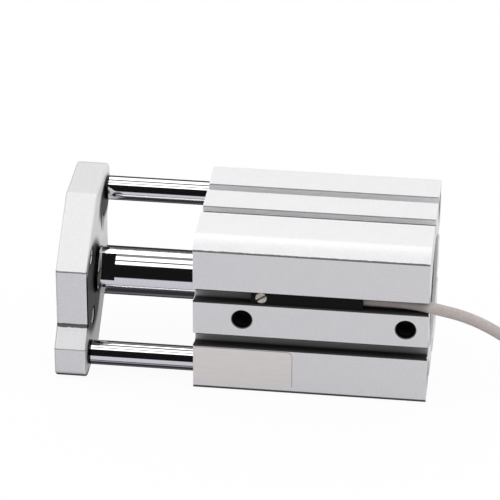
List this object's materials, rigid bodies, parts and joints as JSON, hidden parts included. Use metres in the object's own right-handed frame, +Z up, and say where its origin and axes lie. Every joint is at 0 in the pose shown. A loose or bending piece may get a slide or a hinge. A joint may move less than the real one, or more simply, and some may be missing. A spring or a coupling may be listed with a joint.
{
  "type": "guided pneumatic cylinder",
  "caption": "Square-body compact air cylinder whose end plate rides on a chromed piston rod and two guide rods, with air ports, sensor slots and a position switch on a coiled lead.",
  "frame": {"origin": "centre of the piston's axis at the body's rod-side end face, which is also the centre of the mounting bolt circle there", "axes": "+X along the piston axis from the end plate towards the head end, +Z up from the resting face, -Y the side with the air ports and the switch"},
  "size_m": [0.1559, 0.0587, 0.04],
  "materials": {
    "anodised_aluminium": "clear anodised extrusion with a fine blasted grain",
    "machined_aluminium": "plain turned aluminium",
    "hard_chrome": "ground and hard-chromed steel, mirror bright",
    "spring_steel": "dark oiled spring steel",
    "sintered_bronze": "oiled sintered bronze",
    "seal_rubber": "black nitrile rubber",
    "bumper_urethane": "amber urethane",
    "bearing_resin": "off-white filled resin",
    "magnet_compound": "dark rubber-bonded magnet",
    "black_oxide_steel": "black oxide alloy steel",
    "zinc_steel": "bright zinc plated steel",
    "switch_resin": "black moulded resin",
    "circuit_board": "green solder mask",
    "nickel_brass": "nickel plated brass",
    "blank_film": "blank satin polyester film",
    "cable_jacket": "warm grey vinyl jacket",
    "tie_nylon": "black nylon",
    "brown_insulation": "brown vinyl wire insulation",
    "blue_insulation": "blue vinyl wire insulation"
  },
  "bodies": {
    "barrel": {"body_extrusion": "anodised_aluminium", "rod_cover": "machined_aluminium", "rod_bush": "sintered_bronze", "rod_seal": "seal_rubber", "rod_cover_o_ring": "seal_rubber", "rod_snap_ring": "spring_steel", "rod_bumper": "bumper_urethane", "head_cover": "machined_aluminium", "head_cover_o_ring": "seal_rubber", "head_snap_ring": "spring_steel", "head_bumper": "bumper_urethane", "upper_guide_bush_front": "sintered_bronze", "upper_guide_bush_rear": "sintered_bronze", "lower_guide_bush_front": "sintered_bronze", "lower_guide_bush_rear": "sintered_bronze", "rating_film": "blank_film"},
    "carriage": {"end_plate": "anodised_aluminium", "plate_centre_screw": "black_oxide_steel", "guide_rod_screws": "black_oxide_steel", "piston_rod": "hard_chrome", "upper_guide_rod": "hard_chrome", "lower_guide_rod": "hard_chrome", "piston": "machined_aluminium", "piston_seal": "seal_rubber", "magnet_ring": "magnet_compound", "wear_ring": "bearing_resin", "piston_o_ring": "seal_rubber", "piston_nut": "zinc_steel"},
    "switch": {"switch_housing": "switch_resin", "switch_end_plug": "switch_resin", "switch_board": "circuit_board", "switch_cable": "cable_jacket", "switch_cable_coil": "cable_jacket", "cable_tie": "tie_nylon", "brown_wire": "brown_insulation", "blue_wire": "blue_insulation"},
    "clamp_screw": {"switch_clamp_screw": "nickel_brass"}
  },
  "joints": [
    {"name": "carriage_slide", "type": "slide", "parent": "barrel", "child": "carriage", "axis": [1, 0, 0], "range_m": [-0.00375, 0.02125]},
    {"name": "switch_slide", "type": "slide", "parent": "barrel", "child": "switch", "axis": [1, 0, 0], "range_m": [0, 0.014]},
    {"name": "clamp_screw_turn", "type": "hinge", "parent": "switch", "child": "clamp_screw", "pos_m": [0.0164, -0.0175, 0.0061], "axis": [0, -1, 0], "range_deg": [0, 270]}
  ]
}
